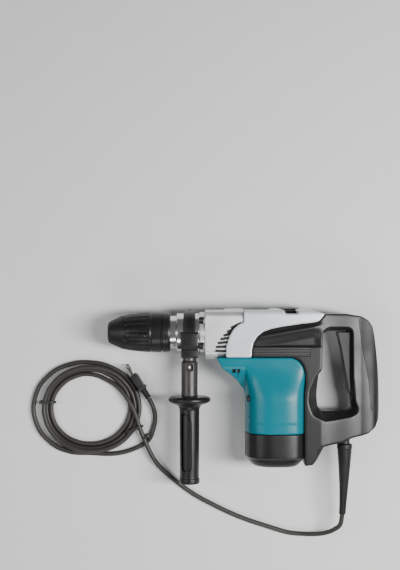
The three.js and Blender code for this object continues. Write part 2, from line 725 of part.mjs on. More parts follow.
const COIL_X = -340;
const COIL_Y = -139.4;
function cordCoil() {
  const ring = turnedY([[0, 61], [0, 96], [4, 100], [13, 100], [17, 96], [17, 61], [0, 61]], 36);
  return ring.rotateX(Math.PI / 2).scale(1.03, 0.868, 1).translate(COIL_X, COIL_Y, FLOOR_Z + 0.1);
}

// The plug points away from its cord: in its own frame along +x, with its cord end at the origin.
const PLUG_ANGLE = (123.5 * Math.PI) / 180;
const PLUG_PLACE = [-224.2, -121, PLUG_HEIGHT];
const BLADE_APART = 12.7;
function plugPlaced(geometry) {
  return geometry.rotateZ(PLUG_ANGLE).translate(...PLUG_PLACE);
}

function plugBody() {
  const neck = turnedX([[0, 0], [0, 4.9], [2, 5.4], [10, 5.6], [21, 6.6], [21, 0]], 16);
  const shell = outline([
    [19, -8.2], [23, -8.2], [25, -6.1], [48, -6.9], [51, -5.4], [51, 5.4], [48, 6.9], [25, 6.1],
    [23, 8.2], [19, 8.2],
  ]);
  return plugPlaced(joined(neck, plate(shell, 12.6, 2)));
}

function plugBlade(side) {
  const blade = block([51.3, 73], [-3.2, 3.2], [-0.8, 0.8]);
  const hole = rodY(-2, 2, 1.5, 12).rotateX(Math.PI / 2).translate(68, 0, 0);
  return plugPlaced(cut(blade, hole).translate(0, 0, (side * BLADE_APART) / 2));
}

// ---- The assembly ----
const tool = new THREE.Group();
tool.position.set(MOTOR_X, BARREL_Y, HALF_WIDTH);

function place(name, geometry, finish) {
  const mesh = new THREE.Mesh(geometry, finish);
  mesh.name = name;
  tool.add(mesh);
}

place("barrel_housing", barrelHousing(), CAST);
place("gear_housing", gearHousing(), CAST);
place("crank_housing", crankHousing(), CAST);
place("crank_cover", crankCover(), SILVER);
place("bearing_plate", bearingPlate(), CAST);
place("motor_housing", motorHousing(), TEAL);
place("motor_end_cap", motorEndCap(), BLACK);
place("handle_left", handleHalf(1), BLACK);
place("handle_right", handleHalf(-1), BLACK);
place("grip_pad", plate(padShape(), GRIP_HALF - 1, 1), RUBBER);
CORNERS.forEach(([up, out], i) => {
  place(`flange_bolt_${i + 1}`, flangeBolt().translate(0, up * BOLT_Y, out * BOLT_Z), DARK_STEEL);
});

place("tool_holder", toolHolder(), DARK_STEEL);
place("nose_cap", noseCap(), RUBBER);
place("lock_key_upper", lockKey(1), STEEL);
place("lock_key_lower", lockKey(-1), STEEL);
place("release_sleeve", releaseSleeve(), BLACK);
place("sleeve_spring", sleeveSpring(), STEEL);
place("impact_bolt", impactBolt(), STEEL);
place("ring_gear", ringGear(), STEEL);
place("oil_seal", ringX(-189.5, -184.5, 20.4, 27), RUBBER);
place("spindle_bearing_front", ringX(-183, -171.2, 20.4, 27), STEEL);
place("spindle_bearing_rear", ringX(-72, -61, 24.9, 31), STEEL);

place("cylinder", cylinder(), STEEL);
place("striker", striker(), STEEL);
place("piston", piston(), STEEL);
place("connecting_rod", connectingRod(), CAST);
place("crankshaft", crankshaft(), STEEL);
place("bevel_shaft", bevelShaft(), STEEL);

place("armature_shaft", armatureShaft(), STEEL);
place("armature_core", armatureCore(), DARK_STEEL);
place("commutator", ringY(-188, -172, 6.3, 15, 30), COPPER);
place("cooling_fan", coolingFan(), GREY);
place("armature_bearing_upper", ringY(-52, -46.4, 6.3, 14), STEEL);
place("armature_bearing_lower", ringY(-206, -197.5, 6.3, 13.1), STEEL);
place("stator_core", statorCore(), DARK_STEEL);
place("field_coil_left", fieldCoil(1), COPPER);
place("field_coil_right", fieldCoil(-1), COPPER);
place("brush_holder_left", brushHolder(1), BRASS);
place("brush_holder_right", brushHolder(-1), BRASS);
place("carbon_brush_left", carbonBrush(1), DARK_STEEL);
place("carbon_brush_right", carbonBrush(-1), DARK_STEEL);

place("mode_knob", modeKnob(), BLACK);
place("trigger", trigger(), BLACK);
place("switch_body", block([147, 163], [-75, -5], [-11, 11]), BLACK);
place("control_board", block([60, 62], [-150, -70], [-30, 30]), BOARD);
place("cord_clamp", block([112, 137], [-165, -155], [-11.5, 11.5]), BLACK);

place("clamp_band", clampBand(), BLACK);
place("clamp_base", clampBase(), BLACK);
place("handle_stem", handleStem(), GREY);
place("side_grip", sideGrip(), BLACK);

place("cord_guard", cordGuard(), RUBBER);
place("cord_lead", cordTube(LEAD, 30), RUBBER);
place("cord_coil", cordCoil(), RUBBER);
place("cord_tail", cordTube(TAIL, 10), RUBBER);
place("plug_body", plugBody(), RUBBER);
place("plug_blade_left", plugBlade(1), STEEL);
place("plug_blade_right", plugBlade(-1), STEEL);

export default tool;
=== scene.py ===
import json
import math

import bmesh
import bpy
from mathutils import Matrix, Vector


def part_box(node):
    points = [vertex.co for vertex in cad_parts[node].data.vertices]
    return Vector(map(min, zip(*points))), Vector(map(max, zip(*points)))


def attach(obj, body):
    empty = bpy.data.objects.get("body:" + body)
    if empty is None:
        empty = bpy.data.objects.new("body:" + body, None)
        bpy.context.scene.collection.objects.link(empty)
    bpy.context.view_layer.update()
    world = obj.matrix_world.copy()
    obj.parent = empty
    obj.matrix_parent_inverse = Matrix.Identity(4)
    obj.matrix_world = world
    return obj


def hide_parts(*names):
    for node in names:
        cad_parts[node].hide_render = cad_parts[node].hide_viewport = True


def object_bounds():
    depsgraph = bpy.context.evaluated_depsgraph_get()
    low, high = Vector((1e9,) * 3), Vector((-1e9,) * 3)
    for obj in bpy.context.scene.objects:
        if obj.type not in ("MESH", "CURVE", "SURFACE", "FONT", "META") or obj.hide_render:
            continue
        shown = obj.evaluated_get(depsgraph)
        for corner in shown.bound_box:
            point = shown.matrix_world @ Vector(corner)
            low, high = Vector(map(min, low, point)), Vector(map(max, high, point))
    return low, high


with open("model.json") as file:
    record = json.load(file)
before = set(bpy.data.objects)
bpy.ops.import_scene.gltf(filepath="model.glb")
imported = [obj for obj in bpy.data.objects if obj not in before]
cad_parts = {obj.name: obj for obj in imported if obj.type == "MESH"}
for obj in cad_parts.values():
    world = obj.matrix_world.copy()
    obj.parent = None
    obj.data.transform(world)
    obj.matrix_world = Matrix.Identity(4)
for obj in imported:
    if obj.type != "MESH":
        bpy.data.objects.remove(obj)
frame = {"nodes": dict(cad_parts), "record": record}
cad_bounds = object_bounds()


def middle(node):
    low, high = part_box(node)
    return (Vector(low) + Vector(high)) / 2


ORIGIN = Vector((middle("motor_end_cap").x, middle("nose_cap").y, middle("nose_cap").z))
TOOL = Matrix.Translation(ORIGIN) @ Matrix.Scale(0.001, 4)
FLOOR = cad_bounds[0].z

# ---- Driving dimensions, in millimetres ----
HALF_WIDTH = 57
MOTOR_R = 51.8  # the motor housing, from its axis to its front or its back
TIP_X = -294.5  # front of the nose cap
SLEEVE_END = -184  # rear of the release sleeve
BAND_X = -150.1  # middle of the side handle's band
FLANGE_X = -133  # front of the barrel's flange
JOINT_X = -122.7  # where the flange meets the gear housing
COVER_Y = -42  # lower edge of the silver cover, top of the motor housing
CAP_Y = -175  # where the motor housing meets its end cap
BOTTOM_Y = -234.2  # bottom of the end cap
CORD_R = 4.25
KNOB_X = 27.9  # axis of the mode knob
EXIT_X = 124.6  # where the cord leaves the handle


# ---- Camera ----
def make_camera():
    data = bpy.data.cameras.new("camera")
    data.lens = 71.3
    data.sensor_width = 36
    camera = bpy.data.objects.new("camera", data)
    camera.location = ORIGIN + Vector((-0.1315, 0.08375, 2.0))
    bpy.context.scene.collection.objects.link(camera)
    bpy.context.scene.camera = camera


make_camera()


# ---- Materials ----
def mixed(tree, share, first, second):
    node = tree.nodes.new("ShaderNodeMix")
    node.data_type = "RGBA"
    node.inputs["A"].default_value = (*first, 1)
    node.inputs["B"].default_value = (*second, 1)
    tree.links.new(share, node.inputs["Factor"])
    return node


def noise(tree, place, scale, detail):
    node = tree.nodes.new("ShaderNodeTexNoise")
    node.inputs["Scale"].default_value = scale
    node.inputs["Detail"].default_value = detail
    tree.links.new(place, node.inputs["Vector"])
    return node.outputs["Fac"]


def spread(tree, value, low, high, to_low, to_high):
    node = tree.nodes.new("ShaderNodeMapRange")
    for key, number in zip(("From Min", "From Max", "To Min", "To Max"), (low, high, to_low, to_high)):
        node.inputs[key].default_value = number
    tree.links.new(value, node.inputs["Value"])
    return node.outputs["Result"]


def lighter(colour, share):
    return tuple(min(1, max(0, part * (1 + share))) for part in colour)


def surface(name, colour, roughness, metallic=0, grain=0.0007, depth=0.2, stretch=(1, 1, 1),
            mottle=0.1, worn=None, wear=0.5, coat=0, specular=0.5):
    """A moulded, cast or machined finish: fine grain in the bump, slow patches in the colour and
    the roughness, and rubbed edges in a paler colour."""
    material = bpy.data.materials.new(name)
    material.use_nodes = True
    tree = material.node_tree
    shader = tree.nodes["Principled BSDF"]
    shader.inputs["Metallic"].default_value = metallic
    shader.inputs["Coat Weight"].default_value = coat
    shader.inputs["Coat Roughness"].default_value = 0.2
    shader.inputs["Specular IOR Level"].default_value = specular
    place = tree.nodes.new("ShaderNodeTexCoord").outputs["Object"]
    mapping = tree.nodes.new("ShaderNodeMapping")
    mapping.inputs["Scale"].default_value = stretch
    tree.links.new(place, mapping.inputs["Vector"])
    fine = noise(tree, mapping.outputs["Vector"], 1 / grain, 3)
    slow = noise(tree, place, 28, 4)
    patches = mixed(tree, slow, lighter(colour, -mottle), lighter(colour, mottle))
    skin = patches.outputs["Result"]
    if worn:
        edge = tree.nodes.new("ShaderNodeNewGeometry").outputs["Pointiness"]
        rubbed = spread(tree, edge, 0.52, 0.6, 0, wear)
        rub = mixed(tree, rubbed, colour, worn)
        tree.links.new(skin, rub.inputs["A"])
        skin = rub.outputs["Result"]
    tree.links.new(skin, shader.inputs["Base Color"])
    both = tree.nodes.new("ShaderNodeMath")
    both.operation = "MULTIPLY_ADD"
    both.inputs[1].default_value = 0.35
    tree.links.new(fine, both.inputs[0])
    tree.links.new(slow, both.inputs[2])
    rough = spread(tree, both.outputs["Value"], 0.4, 0.95, roughness * 0.82, min(1, roughness * 1.2))
    tree.links.new(rough, shader.inputs["Roughness"])
    bump = tree.nodes.new("ShaderNodeBump")
    bump.inputs["Strength"].default_value = depth
    bump.inputs["Distance"].default_value = grain * 0.6
    tree.links.new(fine, bump.inputs["Height"])
    tree.links.new(bump.outputs["Normal"], shader.inputs["Normal"])
    return material


AROUND_BARREL = (1, 0.06, 0.06)
AROUND_MOTOR = (0.06, 1, 0.06)
MATERIALS = {
    "cast": surface("cast_aluminium", (0.74, 0.75, 0.76), 0.36, metallic=0.75, grain=0.0011,
                    depth=0.32, mottle=0.06, worn=(0.92, 0.92, 0.92)),
    "silver": surface("silver_paint", (0.70, 0.745, 0.79), 0.34, metallic=0.35, grain=0.0005,
                      depth=0.12, mottle=0.03, worn=(0.85, 0.87, 0.9), coat=0.3),
    "teal": surface("teal_nylon", (0.0, 0.165, 0.215), 0.29, grain=0.0008, depth=0.12, mottle=0.07,
                    worn=(0.02, 0.26, 0.32), wear=0.3, specular=0.25),
    "black": surface("black_nylon", (0.012, 0.0118, 0.0115), 0.33, grain=0.0007, depth=0.24,
                     mottle=0.16, worn=(0.07, 0.068, 0.065), wear=0.4, specular=0.34),
    "grey": surface("grey_nylon", (0.042, 0.040, 0.037), 0.36, grain=0.0008, depth=0.2,
                    mottle=0.12, worn=(0.14, 0.13, 0.12), wear=0.35, specular=0.45),
    "rubber": surface("soft_rubber", (0.011, 0.0108, 0.0105), 0.45, grain=0.0009, depth=0.36,
                      mottle=0.2, worn=(0.05, 0.048, 0.046), wear=0.35, specular=0.35),
    "cord": surface("cord_sheath", (0.034, 0.031, 0.028), 0.42, grain=0.0012, depth=0.3,
                    mottle=0.22, specular=0.45),
    "steel": surface("ground_steel", (0.62, 0.62, 0.63), 0.27, metallic=1, grain=0.0004,
                     depth=0.2, stretch=AROUND_BARREL, mottle=0.05, worn=(0.8, 0.8, 0.8)),
    "dark_steel": surface("blackened_steel", (0.06, 0.06, 0.062), 0.38, metallic=0.7,
                          grain=0.0006, depth=0.2, mottle=0.15, worn=(0.35, 0.34, 0.33)),
    "copper": surface("enamelled_copper", (0.50, 0.22, 0.10), 0.32, metallic=0.9, grain=0.0006,
                      depth=0.7, stretch=AROUND_MOTOR, mottle=0.12),
    "brass": surface("brass", (0.62, 0.46, 0.18), 0.3, metallic=1, grain=0.0006, mottle=0.08),
    "board": surface("circuit_board", (0.02, 0.11, 0.045), 0.45, grain=0.0012, mottle=0.2),
    "plated": surface("nickel_plate", (0.72, 0.71, 0.68), 0.16, metallic=1, grain=0.0003,
                      depth=0.08, stretch=(0.1, 1, 1), mottle=0.05),
}
MACHINED = surface("turned_aluminium", (0.80, 0.80, 0.80), 0.2, metallic=1, grain=0.0005,
                   depth=0.08, stretch=AROUND_BARREL, mottle=0.05, worn=(0.95, 0.95, 0.95))


# ---- Shapes ----
def shape_from(bm, name="shape"):
    bmesh.ops.recalc_face_normals(bm, faces=bm.faces)
    mesh = bpy.data.meshes.new(name)
    bm.to_mesh(mesh)
    bm.free()
    shape = bpy.data.objects.new(name, mesh)
    bpy.context.scene.collection.objects.link(shape)
    return shape


def ring_point(along, radius, angle, axis):
    """Angle 0 faces out of the tool's left side, and a quarter turn on is up, or rearwards."""
    across, out = radius * math.sin(angle), radius * math.cos(angle)
    return (along, across, out) if axis == "x" else (across, along, out)


def turned(profile, axis="x", facets=96, shaping=None):
    """A solid turned from (along, radius) points, which start and end on the axis or at one point."""
    bm = bmesh.new()
    loops = []
    closed = profile[0] == profile[-1]
    for along, radius in profile[:-1] if closed else profile:
        if radius < 1e-6:
            loops.append([bm.verts.new(ring_point(along, 0, 0, axis))])
            continue
        ring = []
        for i in range(facets):
            angle = 2 * math.pi * i / facets
            reach = shaping(along, angle, radius) if shaping else radius
            ring.append(bm.verts.new(ring_point(along, reach, angle, axis)))
        loops.append(ring)
    if closed:
        loops.append(loops[0])
    for first, second in zip(loops, loops[1:]):
        for i in range(facets):
            j = (i + 1) % facets
            corners = [first[i % len(first)], first[j % len(first)],
                       second[j % len(second)], second[i % len(second)]]
            corners = list(dict.fromkeys(corners))
            if len(corners) > 2:
                bm.faces.new(corners)
    return shape_from(bm)


def loft(lower_outline, low, upper_outline, high):
    bm = bmesh.new()
    lower = [bm.verts.new((x, y, low)) for x, y in lower_outline]
    upper = [bm.verts.new((x, y, high)) for x, y in upper_outline]
    bm.faces.new(lower)
    bm.faces.new(upper)
    for i in range(len(lower)):
        j = (i + 1) % len(lower)
        bm.faces.new((lower[i], lower[j], upper[j], upper[i]))
    return shape_from(bm)


def prism(outline, low, high):
    return loft(outline, low, outline, high)


def rounded(points, radius, steps=5):
    """An outline with its corners rounded off."""
    made = []
    for i, point in enumerate(points):
        here = Vector(point)
        back = Vector(points[i - 1]) - here
        on = Vector(points[(i + 1) % len(points)]) - here
        reach = radius / max(0.15, math.tan(back.angle(on) / 2))
        start = here + back.normalized() * min(reach, 0.48 * back.length)
        end = here + on.normalized() * min(reach, 0.48 * on.length)
        for k in range(steps + 1):
            t = k / steps
            spot = start * (1 - t) ** 2 + here * (2 * t * (1 - t)) + end * t ** 2
            made.append((spot.x, spot.y))
    return made


def oblong(x, y, radius=0):
    corners = [(x[0], y[0]), (x[1], y[0]), (x[1], y[1]), (x[0], y[1])]
    return rounded(corners, radius) if radius else corners


def block(x, y, z):
    return prism(oblong(x, y), *z)


def bar(x, y, half, corner):
    """A bar along x with a rounded section, y from low to high and z from -half to half."""
    section = rounded([(-half, y[0]), (half, y[0]), (half, y[1]), (-half, y[1])], corner, 8)
    shape = prism(section, x[0], x[1])
    for vertex in shape.data.vertices:
        z, height, along = vertex.co
        vertex.co = (along, height, z)
    shape.data.flip_normals()
    return shape


def moved(shape, matrix):
    shape.data.transform(matrix)
    return shape


def shifted(shape, x, y, z):
    return moved(shape, Matrix.Translation((x, y, z)))


def outward(side, low, high):
    """The z range from low to high for side 1, the tool's left, and its mirror image for side -1."""
    return (low, high) if side > 0 else (-high, -low)


def twin(shape):
    """A second shape with a mesh of its own that is the same as the first's."""
    other = shape.copy()
    other.data = shape.data.copy()
    bpy.context.scene.collection.objects.link(other)
    return other


def applied(shape, add):
    """The shape with the modifier that add() puts on it made real."""
    add(shape)
    graph = bpy.context.evaluated_depsgraph_get()
    mesh = bpy.data.meshes.new_from_object(shape.evaluated_get(graph))
    shape.modifiers.clear()
    shape.data = mesh
    return shape


def combined(first, second, operation):
    def add(shape):
        modifier = shape.modifiers.new("combine", "BOOLEAN")
        modifier.operation = operation
        modifier.solver = "MANIFOLD"
        modifier.object = second

    applied(first, add)
    bpy.data.objects.remove(second)
    return first


def joined(first, *others):
    for other in others:
        first = combined(first, other, "UNION")
    return first


def cut(first, *others):
    for other in others:
        first = combined(first, other, "DIFFERENCE")
    return first


def common(first, second):
    return combined(first, second, "INTERSECT")


def melted(shape, voxel, rounds):
    """The shape as one cast skin, its edges softened by some rounds of smoothing."""
    def remesh(target):
        modifier = target.modifiers.new("skin", "REMESH")
        modifier.mode = "VOXEL"
        modifier.voxel_size = voxel

    def smooth(target):
        modifier = target.modifiers.new("smooth", "SMOOTH")
        modifier.factor = 0.5
        modifier.iterations = rounds

    applied(shape, remesh)
    return applied(shape, smooth) if rounds else shape


def reshaped(shape, move):
    """The shape with each vertex put where move(x, y, z) says."""
    for vertex in shape.data.vertices:
        vertex.co = move(*vertex.co)
    return shape


def bevelled(shape, width, segments=3, angle=40):
    def add(target):
        modifier = target.modifiers.new("edge", "BEVEL")
        modifier.width = width
        modifier.segments = segments
        modifier.limit_method = "ANGLE"
        modifier.angle_limit = math.radians(angle)

    return applied(shape, add)


def piece(name, shape, slot, body="housing", stands_for=(), material=None, sharp=38):
    """Makes a shape into a finished piece of the object."""
    shape.name = name
    shape.data.name = name
    shape.data.transform(TOOL)
    shape.data.materials.clear()
    shape.data.materials.append(material or MATERIALS[slot])
    shape.data.shade_smooth()
    shape.data.set_sharp_from_angle(angle=math.radians(sharp))
    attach(shape, body)
    if stands_for:
        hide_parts(*stands_for)
    return shape


def eased(value, low, high):
    """0 below low, 1 above high, and a smooth step between them."""
    share = min(1, max(0, (value - low) / (high - low)))
    return share * share * (3 - 2 * share)


def in_steps(profile, step):
    """A profile with points added so that none are further apart than step."""
    made = [profile[0]]
    for (a, r), (b, s) in zip(profile, profile[1:]):
        count = max(1, math.ceil(math.hypot(b - a, s - r) / step))
        for k in range(1, count + 1):
            made.append((a + (b - a) * k / count, r + (s - r) * k / count))
    return made


def softened(profile, radius):
    """A turned profile with its inner corners rounded, its two ends left where they are."""
    made = [profile[0]]
    for before, here, after in zip(profile, profile[1:], profile[2:]):
        here, back, on = Vector(here), Vector(before) - Vector(here), Vector(after) - Vector(here)
        reach = min(radius, 0.45 * back.length, 0.45 * on.length)
        start, end = here + back.normalized() * reach, here + on.normalized() * reach
        for t in (0, 0.25, 0.5, 0.75, 1):
            spot = start * (1 - t) ** 2 + here * (2 * t * (1 - t)) + end * t ** 2
            made.append((spot.x, spot.y))
    made.append(profile[-1])
    return made


# ---- The mains lead. The route's points, in metres, are the CAD model's. ----
LYING = -0.0523
PLUG_HEIGHT = -0.0441
LEAD = [
    (0.1220, -0.3235, -0.0117), (0.1211, -0.3330, -0.0138), (0.1186, -0.3450, -0.0176),
    (0.1100, -0.3540, -0.0245), (0.0960, -0.3620, -0.0340), (0.0770, -0.3670, -0.0440),
    (0.0550, -0.3680, -0.0505), (0.0300, -0.3660, LYING), (0.0050, -0.3590, LYING),
    (-0.0220, -0.3505, LYING), (-0.0500, -0.3410, LYING), (-0.0790, -0.3290, LYING),
    (-0.1100, -0.3140, LYING), (-0.1420, -0.2965, LYING), (-0.1700, -0.2765, LYING),
    (-0.1940, -0.2565, LYING + 0.001), (-0.2090, -0.2400, LYING + 0.0055),
    (-0.2195, -0.2230, LYING + 0.0092), (-0.2278, -0.2055, LYING + 0.0092),
    (-0.2342, -0.1910, LYING + 0.0092), (-0.2394, -0.1778, LYING + 0.0092),
    (-0.2490, -0.1483, LYING + 0.0092), (-0.2626, -0.1224, LYING + 0.0084),
    (-0.2786, -0.1033, LYING + 0.0045), (-0.2980, -0.0898, LYING + 0.0010),
]
TAIL = [
    (-0.2920, -0.2230, LYING), (-0.2750, -0.2209, LYING), (-0.2538, -0.2149, LYING),
    (-0.2360, -0.2062, LYING), (-0.2236, -0.1961, LYING), (-0.2166, -0.1784, LYING),
    (-0.2130, -0.1562, LYING + 0.0016), (-0.2159, -0.1394, LYING + 0.0052),
    (-0.2234, -0.1223, PLUG_HEIGHT),
]
COIL_CENTRE = Vector((-0.331, -0.141, LYING))
COIL_STEPS = 14  # points to a turn
# How far the cord lies from the coil's middle, and how far above the floor layer, at each quarter
# turn: from the top of the first turn round by the left, the bottom and the right.
COIL_REACH = [0.0627, 0.0707, 0.0635, 0.0725, 0.0712, 0.0792, 0.0720, 0.0811,
              0.0760, 0.0830, 0.0762, 0.0892, 0.0841, 0.1030, 0.0805]
COIL_HEIGHT = [0, 0, 0, 0, 0, 0, 0, 0, 0.0076, 0.0076, 0.0074, 0, 0, 0, 0]


def between(values, place):
    """A smooth curve through values at 0, 1, 2 and so on."""
    last = len(values) - 1
    i = min(int(place), last - 1)
    t = place - i
    a, b, c, d = (values[max(0, min(last, k))] for k in (i - 1, i, i + 1, i + 2))
    return b + 0.5 * t * (c - a + t * (2 * a - 5 * b + 4 * c - d + t * (3 * (b - c) + d - a)))


def coil_points():
    points = []
    quarters = len(COIL_REACH) - 1
    count = round(quarters / 4 * COIL_STEPS)
    for k in range(count + 1):
        place = quarters * k / count
        angle = math.pi / 2 * (1 + place)
        reach = between(COIL_REACH, place)
        height = between(COIL_HEIGHT, place)
        points.append(COIL_CENTRE + Vector((reach * math.cos(angle), reach * math.sin(angle), height)))
    return points


def make_cord():
    route = [ORIGIN + Vector(p) for p in LEAD]
    route += [ORIGIN + p for p in coil_points()]
    route += [ORIGIN + Vector(p) for p in TAIL]
    data = bpy.data.curves.new("mains_cord", "CURVE")
    data.dimensions = "3D"
    data.bevel_depth = CORD_R / 1000
    data.bevel_resolution = 5
    data.resolution_u = 5
    data.use_fill_caps = True
    spline = data.splines.new("BEZIER")
    spline.bezier_points.add(len(route) - 1)
    for point, spot in zip(spline.bezier_points, route):
        point.co = spot
        point.handle_left_type = "AUTO"
        point.handle_right_type = "AUTO"
    data.materials.append(MATERIALS["cord"])
    cord = bpy.data.objects.new("mains_cord", data)
    bpy.context.scene.collection.objects.link(cord)
    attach(cord, "housing")
    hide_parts("cord_lead", "cord_coil", "cord_tail")
    return cord, route[0]


GUARD_TOP = -181.5
GUARD_ROOT = -197
GUARD_END = -324.6
GUARD_DROOP = 12
GUARD_LEAN = -2.6


def cord_guard():
    """The tapered rubber sleeve, straight at its collar and bending down under its own weight."""
    profile = [(GUARD_END, 0), (GUARD_END, 5.6), (GUARD_END + 1.5, 6.1), (-307, 6.2), (-280, 7.6),
               (-250, 9.5), (-225, 11.4), (-206, 12.9), (-205, 13.5), (-198.4, 13.5),
               (-197.4, 12.4), (-197.2, 9.2), (GUARD_TOP, 9.2), (GUARD_TOP, 0)]
    sleeve = turned(in_steps(softened(profile, 1), 3), axis="y", facets=48)

    def droop(x, y, z):
        share = max(0, (y - GUARD_ROOT) / (GUARD_END - GUARD_ROOT))
        return x + GUARD_LEAN * share ** 2 + EXIT_X, y, z - GUARD_DROOP * share ** 2

    return piece("cord_guard_sleeve", reshaped(sleeve, droop), "rubber", stands_for=["cord_guard"])


PLUG_ANGLE = math.radians(123.5)
PLUG_PLACE = Matrix.Translation((-224.2, -121, PLUG_HEIGHT * 1000)) @ Matrix.Rotation(PLUG_ANGLE, 4, "Z")


def plug_moulding():
    """The plug's moulded body: a ribbed neck, a finger flange and a waisted block."""
    neck_profile = [(0, 0), (0, 4.9), (2, 5.4), (10, 5.6), (21, 6.6), (21, 0)]

    def ribs(along, _angle, radius):
        return radius - 0.7 * max(0, math.sin(along * 1.9)) * eased(along, 2, 5)

    neck = turned(in_steps(neck_profile, 0.6), facets=40, shaping=ribs)
    outline = rounded([(19, -8.2), (23.5, -8.2), (25.5, -6.1), (46, -6.9), (51, -5.2), (51, 5.2),
                       (46, 6.9), (25.5, 6.1), (23.5, 8.2), (19, 8.2)], 1.2)
    body = bevelled(prism(outline, -12.6, 12.6), 2, 4)
    grooves = [block((29 + 4 * i, 30.2 + 4 * i), (-20, 20), (12, 14)) for i in range(4)]
    moulding = moved(cut(joined(neck, body), *grooves), PLUG_PLACE)
    return piece("plug_moulding", moulding, "rubber", stands_for=["plug_body"])


BLADE_APART = 12.7


def plug_contact(name, side):
    outline = rounded([(50.8, -3.2), (72, -3.2), (73, -2), (73, 2), (72, 3.2), (50.8, 3.2)], 0.8)
    blade = bevelled(prism(outline, -0.8, 0.8), 0.25, 2)
    hole = moved(turned([(-2, 0), (-2, 1.5), (2, 1.5), (2, 0)], facets=24),
                 Matrix.Translation((68, 0, 0)) @ Matrix.Rotation(math.pi / 2, 4, "Y"))
    shift = Matrix.Translation((0, 0, side * BLADE_APART / 2))
    return piece(name, moved(cut(blade, hole), PLUG_PLACE @ shift), "plated",
                 stands_for=[f"plug_blade_{'left' if side > 0 else 'right'}"])


def cord_tie(name, centre, along, width, height):
    """A black plastic tie: a loop round strands of the cord, with its twisted end sticking out."""
    wall = 0.9
    side, top = width / 2, height / 2
    outer = oblong((-side, side), (-top, top), 3.5)
    inner = oblong((-side + wall, side - wall), (-top + wall, top - wall), 2.8)
    loop = cut(prism(outer, -2.4, 2.4), prism(inner, -5, 5))
    twist = bevelled(block((side - 1, side + 4.5), (top - 3, top - 1.6), (-2, 2)), 0.5)
    upright = moved(joined(loop, twist), Matrix.Rotation(math.pi / 2, 4, "X"))
    turn = Matrix.Rotation(along, 4, "Z")
    return piece(name, moved(upright, Matrix.Translation(centre) @ turn), "black")


mains_cord, cord_exit = make_cord()
guard = cord_guard()
plug = [plug_moulding(), plug_contact("plug_contact_left", 1), plug_contact("plug_contact_right", -1)]
ties = [
    cord_tie("cord_tie_left", (-409, -128.5, -46.9), math.radians(2), 27, 19.5),
    cord_tie("cord_tie_right", (-251, -178, -47.2), math.radians(25), 29, 18.8),
    cord_tie("cord_tie_outer", (-228.6, -190.6, -47.2), math.radians(25), 13.5, 18.8),
]
tuple(cord_exit)


# ---- Chuck ----
def nose_cap():
    profile = [(TIP_X, 10.5), (TIP_X, 15), (-292.5, 18.5), (-289, 20.6), (-282, 23.8),
               (-273.3, 27.6), (-268.4, 29.6), (-266.4, 29.6), (-266.4, 17.9), (-288.7, 17.9),
               (-288.7, 10.5), (TIP_X, 10.5)]
    return piece("dust_cap", turned(in_steps(softened(profile, 3), 1.5)), "rubber",
                 body="spindle", stands_for=["nose_cap"])


FLUTES = 14


def release_sleeve():
    """The sleeve that is pulled back to free the bit: long flutes, a plain ring and a rear ring."""
    outside = [(-266, 30), (-255.5, 32), (-237.8, 34.1), (-220, 35.2), (-216.8, 34.4), (-215.6, 35.4),
               (-201, 35.4), (-199.6, 33.4), (-197.8, 33.4), (-196.6, 35.2), (-187, 34.6),
               (SLEEVE_END, 33.5)]
    inside = [(SLEEVE_END, 30), (-203, 30), (-203, 27), (-226, 27), (-226, 18.2), (-266, 18.2)]
    profile = [(-266, 18.2), *outside, *inside]

    def flutes(along, angle, radius):
        if radius < 29:
            return radius
        share = (angle * FLUTES / (2 * math.pi)) % 1
        wall = abs(share - 0.5) * 2
        length = eased(along, -264, -260) * (1 - eased(along, -224, -220))
        panel = 0.8 * (1 - math.cos((share - 0.5) * 2 * math.pi / FLUTES)) * radius
        groove = 1.5 * eased(wall, 0.78, 0.9)
        dimple_at = math.hypot(along + 226.5, radius * math.sin(angle + 0.14))
        dimple = 0.9 * (1 - eased(dimple_at, 1.6, 2.4)) if math.cos(angle) > 0 else 0
        return radius - length * (groove + panel) - dimple

    sleeve = turned(in_steps(profile, 1.1), facets=FLUTES * 24, shaping=flutes)
    return piece("chuck_sleeve", sleeve, "black", body="sleeve", stands_for=["release_sleeve"])


BORE_R = 25.3


def barrel_neck():
    """The machined neck with its raised ring and the seat of the side handle's band."""
    profile = [(-190, 27.3), (-190, 28.6), (-189.4, 29), (-173.4, 29), (-172.3, 30), (-172.3, 33),
               (-171.5, 33.5), (-160.6, 33.5), (-159.9, 33), (-159.9, 32), (-140.4, 32),
               (-140.4, 33.2), (-139.6, 33.5), (FLANGE_X, 33.5), (FLANGE_X, BORE_R), (-170.7, BORE_R),
               (-170.7, 27.3), (-190, 27.3)]
    return piece("barrel_neck", turned(softened(profile, 0.5), facets=128), "cast",
                 stands_for=["barrel_housing"], material=MACHINED)


BOLT_Y = 22
BOLT_Z = 24
CORNERS = [(1, 1), (1, -1), (-1, 1), (-1, -1)]


FLANGE_REAR = JOINT_X - 0.3
BOLT_SEAT = -125.3


def at_corner(shape, up, out):
    """Moves a shape from the barrel's axis to one of the four bolts."""
    return shifted(shape, 0, up * BOLT_Y, out * BOLT_Z)


